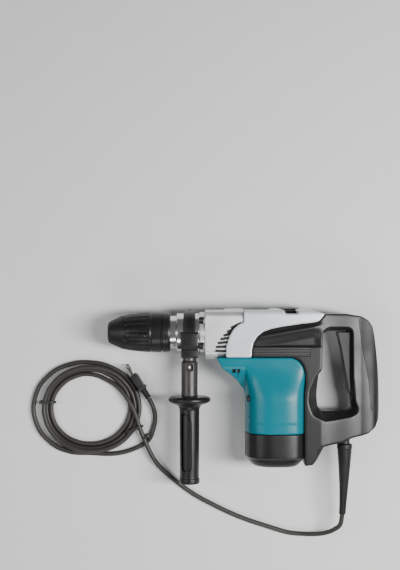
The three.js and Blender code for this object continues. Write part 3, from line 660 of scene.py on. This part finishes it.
def flange():
    """The cast flange with a lug round each bolt."""
    plate = turned([(FLANGE_X, 0), (FLANGE_X, 34.6), (-131.5, 35.6), (FLANGE_REAR, 35.6),
                    (FLANGE_REAR, 0)])
    front = FLANGE_X - 0.2
    for up, out in CORNERS:
        lug = turned([(front, 0), (front, 8), (FLANGE_REAR, 8.6), (FLANGE_REAR, 0)], facets=48)
        plate = joined(plate, at_corner(lug, up, out))
    plate = melted(plate, 0.8, 3)
    plate = cut(plate, turned([(-150, 0), (-150, BORE_R), (-100, BORE_R), (-100, 0)]))
    for up, out in CORNERS:
        hole = turned([(-140, 0), (-140, 5.8), (BOLT_SEAT, 5.8), (BOLT_SEAT, 0)], facets=48)
        plate = cut(plate, at_corner(hole, up, out))
        notch = block((-140, BOLT_SEAT), (-5.8, 5.8), outward(out, 0, 14))
        plate = cut(plate, at_corner(notch, up, out))
    return piece("barrel_flange", plate, "cast")


def flange_bolt(number, up, out):
    head = turned(softened([(-132.8, 0), (-132.8, 5.2), (-125.4, 5.4), (-125.4, 0)], 0.7), facets=40)
    socket = turned([(-134, 0), (-134, 2.8), (-129, 2.8), (-129, 0)], facets=6)
    bolt = at_corner(cut(head, socket), up, out)
    return piece(f"socket_bolt_{number}", bolt, "dark_steel", stands_for=[f"flange_bolt_{number}"])


nose_cap()
release_sleeve()
barrel_neck()
flange()
for bolt_number, (up_side, out_side) in enumerate(CORNERS, 1):
    flange_bolt(bolt_number, up_side, out_side)


# ---- Gear housing and the silver cover ----
FIN_GAPS = 7


def gear_housing():
    """The cast case with the gaps between its cooling fins cut in both sides, fanned out."""
    body = bar((JOINT_X, -55.4), (-41.4, 39.5), 39, 13)
    lobe = bar((JOINT_X + 1, -103.6), (-46.5, -20), 24, 11)
    boss = bar((-88, -55.4), (30, 41.6), 30, 9)
    shell = melted(joined(body, lobe, boss), 0.9, 6)
    for i in range(FIN_GAPS):
        share = i / (FIN_GAPS - 1)
        turn = Matrix.Rotation(-0.05 + 0.5 * share, 4, "Z")
        for side in (1, -1):
            gap = prism(oblong((-12, 9), (-2.5, 2.5), 2.4), -14, 14)
            spot = Matrix.Translation((-94.5 + 27 * share ** 1.5, -31 + 45 * share, side * 40))
            shell = cut(shell, moved(gap, spot @ turn))
    cavity = turned([(-124, 0), (-124, 26.5), (-118, 26.5), (-118, 34), (-73, 34), (-73, 31.3),
                     (-60, 31.3), (-60, 34), (-50, 34), (-50, 0)])
    return piece("gear_case", cut(shell, cavity), "cast", stands_for=["gear_housing"])


def fin_shade_backing(name, side):
    """A black plate behind the gaps between the cooling fins, as painted shade: it stands for the shade
    inside the gaps.
    """
    shade_plate = block((-104, -62), (-36, 19), outward(side, 34.3, 35.5))
    return piece(name, shade_plate, "black")


# The edge between the silver cover and the black side panel below it, front to rear.
SHARED_EDGE = [
    (-42.1, -31.4), (-39.4, -17.2), (-32.3, -5.7), (-21.7, 3.2), (-7.5, 8.5), (10.2, 12),
    (27.9, 14.7), (45.6, 17.4), (63.3, 19.1), (75.7, 21.8),
]
NOTCH = (15.5, 40.3)  # the gap for the mode knob in the cover's top
ROOM_REAR, ROOM_TOP, ROOM_HALF = 78.5, 33.3, 40.4  # the room for the crank housing


def crank_cover():
    """The silver cover: a side view's slab cut to a rounded section, open below and in front."""
    skin = [
        (-86.4, COVER_Y + 0.3), (-85.5, -22.5), (-80.2, -4.8), (-73.1, 7.6), (-64.2, 15.6),
        (-55, 19.6), (-55, 39.5), (-11.1, 39.5), (-3, 42.3), (7, 42.3), (NOTCH[0], 38.5),
        (NOTCH[0] + 1, 33.2), (NOTCH[1] - 1, 33.2), (NOTCH[1], 38.5), (48, 42.3), (58, 42.3),
        (66.9, 38.8), (85.5, 34.2), *reversed(SHARED_EDGE), (-42.1, COVER_Y + 0.3),
    ]
    plate = prism(rounded(skin, 3), -46, 46)
    section = bar((-100, 100), (-60, 42.4), 45.8, 11)
    cover = melted(common(plate, section), 0.9, 4)
    inside = bar((-70, ROOM_REAR), (-60, ROOM_TOP), ROOM_HALF, 3)
    front = block((-95, -55.1), (-60, 45), (-39.5, 39.5))
    return piece("crank_cover_shell", cut(cover, inside, front), "silver", stands_for=["crank_cover"])


def mode_knob():
    """The mode dial: a knurled disc with a finger bar across it."""
    def knurl(along, angle, radius):
        return radius - (0.35 * (math.cos(angle * 30) > 0) if radius > 10.4 and along < 38.4 else 0)

    profile = in_steps(softened([(33.7, 0), (33.7, 11), (38.4, 10.9), (39.2, 9.6), (39.2, 0)], 0.5), 1)
    dial = turned(profile, axis="y", facets=240, shaping=knurl)
    grip = bevelled(block((-9.4, 9.4), (38, 41.8), (-2.7, 2.7)), 0.9, 3)
    knob = shifted(joined(dial, grip), KNOB_X, 0, 0)
    return piece("mode_dial", knob, "black", body="mode_knob", stands_for=["mode_knob"])


gear_housing()
# Black plates behind the fin gaps on both sides: painted shade between the fins.
fin_shade_backing("fin_shade_plate_left", 1)
fin_shade_backing("fin_shade_plate_right", -1)
crank_cover()
mode_knob()


# ---- Motor housing and end cap ----
SQUARE_FRONT = 2.6
SQUARE_REAR = 4
TOP_HALF_WIDTH = 46
MOTOR_CORNER = [(27.9, COVER_Y - 0.1), (39, -47.5), (46.5, -57), (50.6, -72), (51.5, -88)]


def power_at(x):
    return SQUARE_FRONT if x < 0 else SQUARE_REAR


def squared(shape):
    """Makes a solid turned about the motor's axis squarer, most of all behind the axis, and
    brings it to the tool's full width."""
    def move(x, y, z):
        radius = math.hypot(x, z)
        if radius < 1e-6:
            return x, y, z
        power = power_at(x)
        across = abs(x / radius) ** power + abs(z / radius) ** power
        grow = across ** (-1 / power)
        return x * grow, y, z * grow * HALF_WIDTH / MOTOR_R

    return reshaped(shape, move)


def motor_half_width(x, y):
    """Half the motor housing's width: the motor's own round below, easing to a flat top."""
    power = power_at(x)
    out = min(1, abs(x) / MOTOR_R)
    barrel = HALF_WIDTH * (1 - out ** power) ** (1 / power)
    flat = eased(y, -118, -52)
    return barrel * (1 - flat) + TOP_HALF_WIDTH * flat


def motor_housing():
    """The teal shell: a side outline swelled to the motor's width, with an air inlet."""
    outline = [(-103.2, COVER_Y - 0.2), *MOTOR_CORNER, (MOTOR_R, -110), (MOTOR_R, CAP_Y + 0.3),
               (-MOTOR_R, CAP_Y + 0.3), (-MOTOR_R, -112), (-54.5, -101), (-66, -84.5),
               (-78.4, -72.1), (-92.6, -61.5)]
    shell = melted(prism(rounded(outline, 2), -HALF_WIDTH, HALF_WIDTH), 1.5, 0)
    step_y = -155.5

    def swell(x, y, z):
        inset = 0.4 * eased(step_y - y, 0, 1.5)
        return x, y, z / HALF_WIDTH * (motor_half_width(x, y) - inset)

    shell = melted(reshaped(shell, swell), 1.1, 10)
    room = prism([(-200, -300), (200, -300), (200, COVER_Y - 0.2), (-200, COVER_Y - 0.2)], -90, 90)
    shell = common(shell, room)
    shell = cut(shell, block((-80, 80), (-200, CAP_Y + 0.3), (-90, 90)))
    # The inlet's two openings, and the slit below them.
    for start in (-75.7, -68.2):
        shell = cut(shell, block((start, start + 6), (-68.8, -62), (34, 60)))
    shell = cut(shell, block((-65.7, -64.7), (-84, -68), (28, 60)))
    return piece("motor_shell", shell, "teal", stands_for=["motor_housing"])


def motor_vent():
    """The black grille in the teal housing's air inlet."""
    grille = bevelled(block((-76.5, -61.2), (-69.4, -61.4), (30, 35)), 0.4)
    return piece("inlet_grille", grille, "black")


def motor_end_cap():
    """The black cap with two rows of air slots in its end."""
    profile = [(BOTTOM_Y, 0), (BOTTOM_Y, 31), (-232.6, 37.5), (-229, 42.5), (-224, 46.4),
               (-218.4, 49.2), (-216.6, MOTOR_R - 0.3), (-215.6, MOTOR_R), (CAP_Y - 1, MOTOR_R),
               (CAP_Y, MOTOR_R - 0.6), (CAP_Y, 0)]
    cap = squared(turned(in_steps(softened(profile, 1), 3), axis="y", facets=160))
    for i in range(-3, 4):
        for turn in (0, math.pi):
            slot = bevelled(block((-2.2, 2.2), (BOTTOM_Y - 2, BOTTOM_Y + 5), (12, 30)), 1)
            slot = moved(slot, Matrix.Rotation(turn, 4, "Y"))
            cap = cut(cap, shifted(slot, i * 9.5, 0, 0))
    return piece("motor_cap_shell", cap, "black", stands_for=["motor_end_cap"])


def brush_cap(name, side):
    """The round screw cap over each motor brush, on the front of the motor housing."""
    cap = turned(softened([(0, 0), (0, 6), (2.2, 6), (2.2, 0)], 0.6), facets=48)
    slot = block((1.4, 4), (-8, 8), (-0.6, 0.6))
    cap = cut(cap, slot)
    facing = Matrix.Rotation(math.pi + side * 0.39, 4, "Y")
    return piece(name, moved(cap, Matrix.Translation((-46.4, -114, side * 33.5)) @ facing), "black")


motor_housing()
motor_vent()
motor_end_cap()
brush_cap("brush_cap_left", 1)
brush_cap("brush_cap_right", -1)

# ---- Rear housing and D handle ----
COLUMN_HALF = 44
GRIP_HALF = COLUMN_HALF / 2
TAPER_START, TAPER_END = 79, 150  # the housing thins between these, from the column to the grip
BACK_X = 184.8
BACK = [
    (151.9, 28.9), (164.3, 21.8), (171.4, 11.2), (174.9, -4.8), (178.5, -31.4), (182, -66.8),
    (183.8, -102.2), (184.5, -134.1), (182.9, -151.8), (176.7, -166), (164.3, -176.6),
]
UNDERSIDE = [(151.9, -181), (137.7, -183.7), (116.5, -191.7), (98.8, -194.3), (84.6, -197)]
OPENING = [
    (84.6, -1.2), (93.5, 3.2), (131.5, 3.2), (131.7, -80), (134.2, -120), (136, -132.3),
    (131, -137.6), (82, -137.6), (75, -129), (73.1, -111), (74.5, -92), (77, -71), (81.9, -61.5),
    (81.9, -5),
]
# The soft grip's front edge, from the top of the grip to its foot.
GRIP_SEAM = [(146.5, 24), (148.4, 7.6), (150.2, -4.8), (153.7, -31.4), (159, -58), (164.3, -84.5),
             (166.1, -111), (167.9, -134.1)]


# Where the slope round the D opening meets the housing's side.
CHAMFER = [
    (83, 3), (92, 9.5), (137, 9.5), (138, -80), (141, -120), (149, -140), (133, -147.5),
    (86, -153), (64, -142), (56.5, -120), (58.5, -101), (66.5, -82), (80.5, -62), (81.5, -5),
]


def rear_thickness(x):
    """The housing's thickness as a share of the column's: half as thick at the grip."""
    share = min(1, max(0, (x - TAPER_START) / (TAPER_END - TAPER_START)))
    return 1 - 0.25 * (share + eased(x, TAPER_START, TAPER_END))


def back_half(x, y):
    """Half the thickness of the handle where it rounds off towards its back."""
    turn_x = TAPER_END + 4 * eased(-y, 30, 140)
    out = min(0.995, max(0, x - turn_x) / (BACK_X - turn_x))
    return GRIP_HALF * (1 - out ** 2.5) ** (1 / 2.5)


def rear_surface(x, y, z):
    """Thins the side view's slab towards the handle, rounds the grip and slopes the side panels,
    which stand out along a rising ridge and fall away above and below it."""
    half = abs(z) * rear_thickness(x)
    if x > TAPER_END:
        half = min(half, back_half(x, y))
    ridge_y = -3 + 0.18 * (x + 10)
    raised = 2.2 - 5.2 * eased(ridge_y - y, 0, 20) - 2.6 * eased(y - ridge_y, 0, 7)
    panel = (1 - eased(x, 66, 86)) * eased(half, 20, 36) * eased(y, -24.5, -21.5)
    return x, y, math.copysign(half + panel * raised, z)


STRIP_SEAT = 38.9


def rear_housing():
    """The column behind the motor, its side panels and the D handle, as one skin."""
    panel = [(x + 0.4, y - 0.5) for x, y in SHARED_EDGE]
    corner = [(x + 0.5, y + 0.4) for x, y in MOTOR_CORNER]
    outline = [
        (-41.7, COVER_Y + 0.3), *panel, (86, 33.8), (125.3, 33.3), *BACK, *UNDERSIDE,
        (82.8, -198), (70.4, -221), (64, -229), (49.5, -231), (49.5, -112), (51, -94),
        *reversed(corner),
    ]
    solid = prism(rounded(outline, 3), -COLUMN_HALF, COLUMN_HALF)
    opening, rim = rounded(OPENING, 6), rounded(CHAMFER, 12)
    solid = cut(solid, prism(opening, -80, 80))
    for side in (1, -1):
        solid = cut(solid, loft(opening, side * 17, rim, side * (COLUMN_HALF + 0.5)))
    solid = melted(solid, 1.2, 8)
    solid = melted(reshaped(solid, rear_surface), 1.1, 3)
    for side in (1, -1):
        strip_recess = block((-38, 60), (-40.6, -24.4), outward(side, STRIP_SEAT, 60))
        solid = cut(solid, strip_recess)
        deep = outward(side, 41.6, 60)
        for i in range(3):
            low_slot = block((71.4 + 3.4 * i, 73 + 3.4 * i), (-212 + 5 * i, -201 + 4 * i), deep)
            high_slot = block((67.5 + 3.6 * i, 69.7 + 3.6 * i), (-9, 1), deep)
            solid = cut(solid, low_slot, high_slot)
    exit_hole = turned([(-205, 0), (-205, 9.6), (-180, 9.6), (-180, 0)], axis="y")
    solid = cut(solid, shifted(exit_hole, EXIT_X, 0, 0))
    crank_room = block((-60, ROOM_REAR), (-47, ROOM_TOP), (-ROOM_HALF, ROOM_HALF))
    trigger_room = prism([(126, 3.2), (146, 3.2), (150, -60), (153, -112), (126, -112)], -12, 12)
    return cut(solid, crank_room, trigger_room)


def panel_strip(name, side):
    """The strip with three grooves that lies along each side panel."""
    face, floor = 43.4, 41.4
    section = [(STRIP_SEAT, -40.5), (42.4, -40.5), (face, -39.6)]
    for y in (-37.4, -32.8, -28.2):
        section += [(face, y - 0.9), (floor, y - 0.6), (floor, y + 0.6), (face, y + 0.9)]
    section += [(face, -25.2), (42.6, -24.5), (STRIP_SEAT, -24.5)]
    strip = prism([(-z, y) for z, y in section], -37.9, 59.9)
    strip = moved(strip, Matrix.Rotation(math.pi / 2, 4, "Y"))
    if side < 0:
        strip = moved(strip, Matrix.Scale(-1, 4, (0, 0, 1)))
        strip.data.flip_normals()
    return piece(name, strip, "black")


def soft_region(gap):
    """The outline of everything behind the soft grip's front edge."""
    seam = [(x - gap, y) for x, y in GRIP_SEAM]
    return [*seam, (172, -139.5), (200, -134), (200, 30), (160, 33)]


SEAM_HALF = 0.3  # half the gap between the soft grip and the black shells
PARTING_HALF = 0.15  # half the gap between the left shell and the right one


def handle():
    """The soft grip and the two black shells, all cut from one skin."""
    skin = rear_housing()
    behind = prism(rounded(soft_region(-SEAM_HALF), 1), -60, 60)
    piece("soft_grip", common(twin(skin), behind), "rubber", stands_for=["grip_pad"])
    skin = cut(skin, prism(rounded(soft_region(SEAM_HALF), 1), -60, 60))
    for half, side, solid in (("left", 1, skin), ("right", -1, twin(skin))):
        room = block((-100, 250), (-300, 100), outward(side, PARTING_HALF, 90))
        piece(f"handle_shell_{half}", common(solid, room), "black", stands_for=[f"handle_{half}"])


def trigger():
    """The long trigger, hollowed a little on both sides, with a ladder of grooves in front."""
    lever = rounded([
        (109.2, 1.5), (112.5, -12), (116.5, -28), (120.9, -52.6), (125.6, -80), (129, -100),
        (131.8, -108), (136, -109), (140, -106), (140.5, -80), (136, -40), (133.5, 1.5),
    ], 3)
    body = melted(prism(lever, -11, 11), 0.8, 5)
    hollow = rounded([(112.5, -2), (130.4, -2), (133.5, -30), (134.2, -78), (122, -42)], 1.5)
    for side in (1, -1):
        body = cut(body, prism(hollow, *outward(side, 10.3, 14)))
    for i in range(12):
        groove = block((-1, 3), (-0.5, 0.5), (-7, 7))
        body = cut(body, shifted(groove, 113.6 + 1.25 * i, -14 - 6.2 * i, 0))
    return piece("trigger_lever", body, "black", body="trigger", stands_for=["trigger"])


handle()
trigger()
panel_strip("groove_strip_left", 1)
panel_strip("groove_strip_right", -1)


# ---- Side handle ----
def clamp_band():
    profile = [(BAND_X - 9.5, 32.4), (BAND_X - 9.5, 37.2), (BAND_X - 9, 37.7), (BAND_X - 6, 37.7),
               (BAND_X - 5.2, 37.0), (BAND_X + 5.2, 37.0), (BAND_X + 6, 37.7), (BAND_X + 8.9, 37.7),
               (BAND_X + 9.4, 37.2), (BAND_X + 9.4, 32.4), (BAND_X - 9.5, 32.4)]
    return piece("clamp_strap", turned(profile, facets=128), "black", body="side_handle",
                 stands_for=["clamp_band"])


def clamp_base():
    """The block under the barrel: an upper jaw with a chamfered top, and a lower block."""
    upper = bevelled(bar((BAND_X - 15.6, BAND_X + 16), (-26, 2.3), 41.6, 5), 2.6, 4, 60)
    lower = bevelled(bar((BAND_X - 14.4, BAND_X + 15), (-43.8, -26.6), 40.8, 5), 2.0, 4, 60)
    waist = bar((BAND_X - 13.4, BAND_X + 14), (-30, -22), 39.6, 3)
    jaw = joined(upper, waist, lower)
    seat = turned([(BAND_X - 9.8, 0), (BAND_X - 9.8, 38.1), (BAND_X + 9.8, 38.1), (BAND_X + 9.8, 0)])
    hole = turned([(BAND_X - 20, 0), (BAND_X - 20, 33.9), (BAND_X + 20, 33.9), (BAND_X + 20, 0)])
    return piece("clamp_jaw", cut(jaw, seat, hole), "black", body="side_handle",
                 stands_for=["clamp_base"])


def handle_stem():
    profile = [(-112.8, 0), (-112.8, 14.6), (-54, 14.6), (-52, 13.6), (-50, 12), (-44.1, 12), (-44.1, 0)]
    stem = turned(in_steps(softened(profile, 1), 3), axis="y", facets=96)
    window = prism(oblong((-6.5, 6.5), (-69, -54.4), 3.5), 8.5, 20)
    stem = shifted(cut(stem, window), BAND_X, 0, 0)
    return piece("stem_tube", stem, "grey", body="side_handle", stands_for=["handle_stem"])


def clamp_screw():
    """The bright hexagon of the clamp's screw, seen through the stem's window."""
    head = turned(softened([(-64, 0), (-64, 3.4), (-59, 3.4), (-59, 0)], 0.5), axis="y", facets=6)
    shank = turned([(-59.5, 0), (-59.5, 2), (-54.4, 2), (-54.4, 0)], axis="y", facets=24)
    screw = shifted(joined(head, shank), BAND_X, 0, 6)
    return piece("clamp_screw", screw, "steel", body="side_handle")


def side_grip():
    """The side handle's grip: a flange at its top and a long grooved outline on each side."""
    profile = [(-267.8, 0), (-267.8, 16), (-267, 17.4), (-265.6, 18.1), (-260, 18.1), (-258.4, 17.6),
               (-256.6, 16.9), (-250, 16.9), (-200, 17.3), (-150, 17.5), (-136, 17.7), (-131, 19.4),
               (-128, 23), (-125.6, 30), (-123.2, 35), (-121.4, 36.8), (-119.6, 37.2), (-116.4, 36.8),
               (-114.6, 35), (-113.4, 31), (-113.1, 24), (-113.1, 0)]
    grip = turned(in_steps(softened(profile, 1.2), 2), axis="y", facets=128)
    groove_edge = rounded([(-14, -245), (4, -245), (4, -159), (-1.5, -143), (-14, -141)], 7, 8)
    panel_edge = rounded([(-11, -241.6), (0.8, -241.6), (0.8, -160), (-3.5, -146), (-11, -144.4)],
                         5, 8)
    for turn in (0, math.pi):
        floor = turned([(-260, 0), (-260, 13.4), (-130, 13.8), (-130, 0)], axis="y", facets=96)
        groove = cut(prism(groove_edge, 0, 30), prism(panel_edge, -5, 35))
        groove = moved(cut(groove, floor), Matrix.Rotation(turn, 4, "Y"))
        grip = cut(grip, groove)
    return piece("side_grip_moulding", shifted(grip, BAND_X, 0, 0), "black",
                 body="side_grip", stands_for=["side_grip"])


clamp_band()
clamp_base()
handle_stem()
clamp_screw()
side_grip()


# ---- The CAD nodes that stay get finishes that suit what they are ----
def finish_frame():
    slots = {entry["node"]: entry["material_slot"] for entry in frame["record"]["subparts"]}
    for name, node in frame["nodes"].items():
        if node.data.materials:
            node.data.materials[0] = MATERIALS[slots[name]]
        else:
            node.data.materials.append(MATERIALS[slots[name]])


finish_frame()


# ---- Floor and lights ----
def make_floor():
    bm = bmesh.new()
    bmesh.ops.create_grid(bm, x_segments=8, y_segments=8, size=6)
    floor = shape_from(bm, "floor")
    floor.location = (0, 0, FLOOR)
    paper = surface("pale_floor", (0.80, 0.80, 0.79), 0.7, grain=0.002, depth=0.04, mottle=0.015)
    floor.data.materials.append(paper)


def make_light(name, place, width, length, power):
    """A soft box, its length along y, that faces the tool."""
    data = bpy.data.lights.new(name, "AREA")
    data.shape = "RECTANGLE"
    data.size = width
    data.size_y = length
    data.energy = power
    light = bpy.data.objects.new(name, data)
    light.location = ORIGIN + Vector(place)
    light.rotation_euler = (-Vector(place)).to_track_quat("-Z", "Y").to_euler()
    bpy.context.scene.collection.objects.link(light)


def make_world():
    world = bpy.data.worlds.new("studio")
    world.use_nodes = True
    world.node_tree.nodes["Background"].inputs["Color"].default_value = (1, 1, 1, 1)
    world.node_tree.nodes["Background"].inputs["Strength"].default_value = 0.12
    bpy.context.scene.world = world


make_floor()
make_light("key", (1.0, -0.1, 1.6), 0.3, 1.2, 50)
make_light("fill", (-1.35, -0.1, 1.3), 0.5, 1.2, 10)
make_light("low", (-0.1, -1.5, 1.2), 0.9, 0.4, 8)
make_world()
